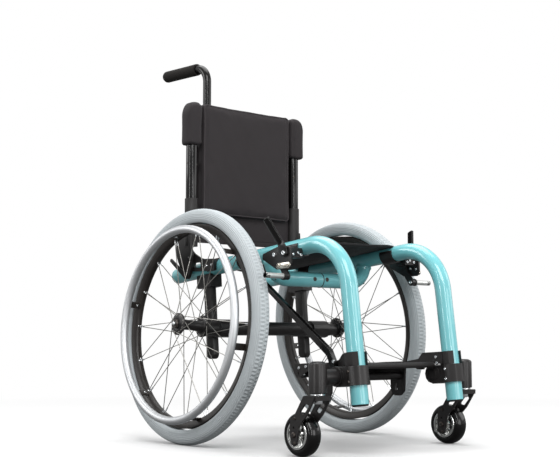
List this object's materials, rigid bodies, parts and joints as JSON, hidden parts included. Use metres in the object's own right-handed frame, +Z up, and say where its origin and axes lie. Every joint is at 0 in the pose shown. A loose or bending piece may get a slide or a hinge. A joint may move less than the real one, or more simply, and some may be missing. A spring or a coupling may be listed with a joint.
{
  "type": "paediatric wheelchair",
  "caption": "Child's rigid-frame wheelchair with cambered spoked wheels, swivel casters, folding sling backrest, wheel locks and a flip-up footplate.",
  "frame": {"origin": "on the floor, below the middle of the chair's overall box", "axes": "+Z up, +Y towards the back of the chair, +X towards the user's left side"},
  "size_m": [0.6436, 0.8366, 0.983],
  "materials": {
    "aqua_enamel": "gloss powder coat, pale aqua",
    "black_anodised": "black anodised, satin",
    "black_enamel": "black enamel, gloss",
    "black_foam": "foam grip",
    "black_plastic": "moulded, fine grain",
    "black_tyre": "smooth black tread",
    "black_upholstery": "nylon cloth over foam",
    "chrome": "polished",
    "grey_tyre": "light grey, non-marking, treaded",
    "satin_aluminium": "clear anodised, satin"
  },
  "bodies": {
    "chair": {"right_side_frame": "aqua_enamel", "left_side_frame": "aqua_enamel", "right_rail_cap": "black_plastic", "left_rail_cap": "black_plastic", "right_leg_cap": "black_plastic", "left_leg_cap": "black_plastic", "right_axle_post": "black_anodised", "left_axle_post": "black_anodised", "right_post_clamp": "black_anodised", "left_post_clamp": "black_anodised", "right_camber_clamp": "black_anodised", "left_camber_clamp": "black_anodised", "right_camber_plug": "black_anodised", "left_camber_plug": "black_anodised", "right_quick_release_axle": "black_anodised", "left_quick_release_axle": "black_anodised", "right_caster_clamp": "black_anodised", "left_caster_clamp": "black_anodised", "right_caster_housing": "black_anodised", "left_caster_housing": "black_anodised", "right_footrest_clamp": "black_anodised", "left_footrest_clamp": "black_anodised", "right_back_bracket": "black_anodised", "left_back_bracket": "black_anodised", "right_lock_bracket": "black_anodised", "left_lock_bracket": "black_anodised", "camber_tube": "black_anodised", "frame_brace": "black_anodised", "seat_sling": "black_upholstery"},
    "backrest": {"right_back_cane": "black_enamel", "left_back_cane": "black_enamel", "right_cane_socket": "black_plastic", "left_cane_socket": "black_plastic", "back_cross_bar": "black_enamel", "back_upholstery": "black_upholstery", "push_handle_tube": "black_enamel", "push_handle_grip": "black_foam"},
    "footplate": {"footplate": "black_plastic"},
    "right_wheel": {"right_tyre": "grey_tyre", "right_rim": "black_anodised", "right_handrim": "satin_aluminium", "right_spoked_hub": "black_anodised"},
    "right_axle_button": {"right_axle_button": "chrome"},
    "right_caster_fork": {"right_caster_fork": "black_anodised"},
    "right_caster_wheel": {"right_caster_tyre": "black_tyre", "right_caster_hub": "chrome"},
    "right_lock_lever": {"right_lock_lever": "black_anodised"},
    "right_lock_shoe": {"right_lock_shoe": "satin_aluminium"},
    "right_back_latch": {"right_back_latch": "black_anodised"},
    "left_wheel": {"left_tyre": "grey_tyre", "left_rim": "black_anodised", "left_handrim": "satin_aluminium", "left_spoked_hub": "black_anodised"},
    "left_axle_button": {"left_axle_button": "chrome"},
    "left_caster_fork": {"left_caster_fork": "black_anodised"},
    "left_caster_wheel": {"left_caster_tyre": "black_tyre", "left_caster_hub": "chrome"},
    "left_lock_lever": {"left_lock_lever": "black_anodised"},
    "left_lock_shoe": {"left_lock_shoe": "satin_aluminium"},
    "left_back_latch": {"left_back_latch": "black_anodised"}
  },
  "joints": [
    {"name": "backrest_fold", "type": "hinge", "parent": "chair", "child": "backrest", "pos_m": [0, 0.178, 0.446], "axis": [1, 0, 0], "range_deg": [0, 75]},
    {"name": "footplate_flip", "type": "hinge", "parent": "chair", "child": "footplate", "pos_m": [0, -0.175, 0.17], "axis": [-1, 0, 0], "range_deg": [0, 88]},
    {"name": "right_wheel_spin", "type": "hinge", "parent": "chair", "child": "right_wheel", "pos_m": [-0.2525, 0.07, 0.27928], "axis": [-0.9974, 0, 0.0715], "continuous": true},
    {"name": "right_caster_swivel", "type": "hinge", "parent": "chair", "child": "right_caster_fork", "pos_m": [-0.2305, -0.355, 0.129], "axis": [0, 0, 1], "continuous": true},
    {"name": "right_caster_roll", "type": "hinge", "parent": "right_caster_fork", "child": "right_caster_wheel", "pos_m": [-0.2305, -0.306, 0.0463], "axis": [1, 0, 0], "continuous": true},
    {"name": "right_lock_lever_swing", "type": "hinge", "parent": "chair", "child": "right_lock_lever", "pos_m": [-0.208, -0.2244, 0.436], "axis": [1, 0, 0], "range_deg": [0, 44]},
    {"name": "right_lock_shoe_swing", "type": "hinge", "parent": "chair", "child": "right_lock_shoe", "pos_m": [-0.2, -0.186, 0.434], "axis": [1, 0, 0], "range_deg": [0, 22]},
    {"name": "right_back_latch_turn", "type": "hinge", "parent": "backrest", "child": "right_back_latch", "pos_m": [-0.1877, 0.189, 0.405], "axis": [-1, 0, 0], "range_deg": [0, 20], "stiffness_Nm_per_rad": 0.15},
    {"name": "right_axle_button_press", "type": "slide", "parent": "chair", "child": "right_axle_button", "axis": [0.9974, 0, -0.0715], "range_m": [0, 0.003], "stiffness_N_per_m": 400},
    {"name": "left_wheel_spin", "type": "hinge", "parent": "chair", "child": "left_wheel", "pos_m": [0.2525, 0.07, 0.27928], "axis": [0.9974, 0, 0.0715], "continuous": true},
    {"name": "left_caster_swivel", "type": "hinge", "parent": "chair", "child": "left_caster_fork", "pos_m": [0.2305, -0.355, 0.129], "axis": [0, 0, 1], "continuous": true},
    {"name": "left_caster_roll", "type": "hinge", "parent": "left_caster_fork", "child": "left_caster_wheel", "pos_m": [0.2305, -0.306, 0.0463], "axis": [1, 0, 0], "continuous": true},
    {"name": "left_lock_lever_swing", "type": "hinge", "parent": "chair", "child": "left_lock_lever", "pos_m": [0.208, -0.2244, 0.436], "axis": [1, 0, 0], "range_deg": [0, 44]},
    {"name": "left_lock_shoe_swing", "type": "hinge", "parent": "chair", "child": "left_lock_shoe", "pos_m": [0.2, -0.186, 0.434], "axis": [1, 0, 0], "range_deg": [0, 22]},
    {"name": "left_back_latch_turn", "type": "hinge", "parent": "backrest", "child": "left_back_latch", "pos_m": [0.1877, 0.189, 0.405], "axis": [-1, 0, 0], "range_deg": [0, 20], "stiffness_Nm_per_rad": 0.15},
    {"name": "left_axle_button_press", "type": "slide", "parent": "chair", "child": "left_axle_button", "axis": [-0.9974, 0, -0.0715], "range_m": [0, 0.003], "stiffness_N_per_m": 400}
  ],
  "couplings": [
    {"joint": "right_lock_shoe_swing", "follows": "right_lock_lever_swing", "ratio": 0.5},
    {"joint": "left_lock_shoe_swing", "follows": "left_lock_lever_swing", "ratio": 0.5}
  ]
}
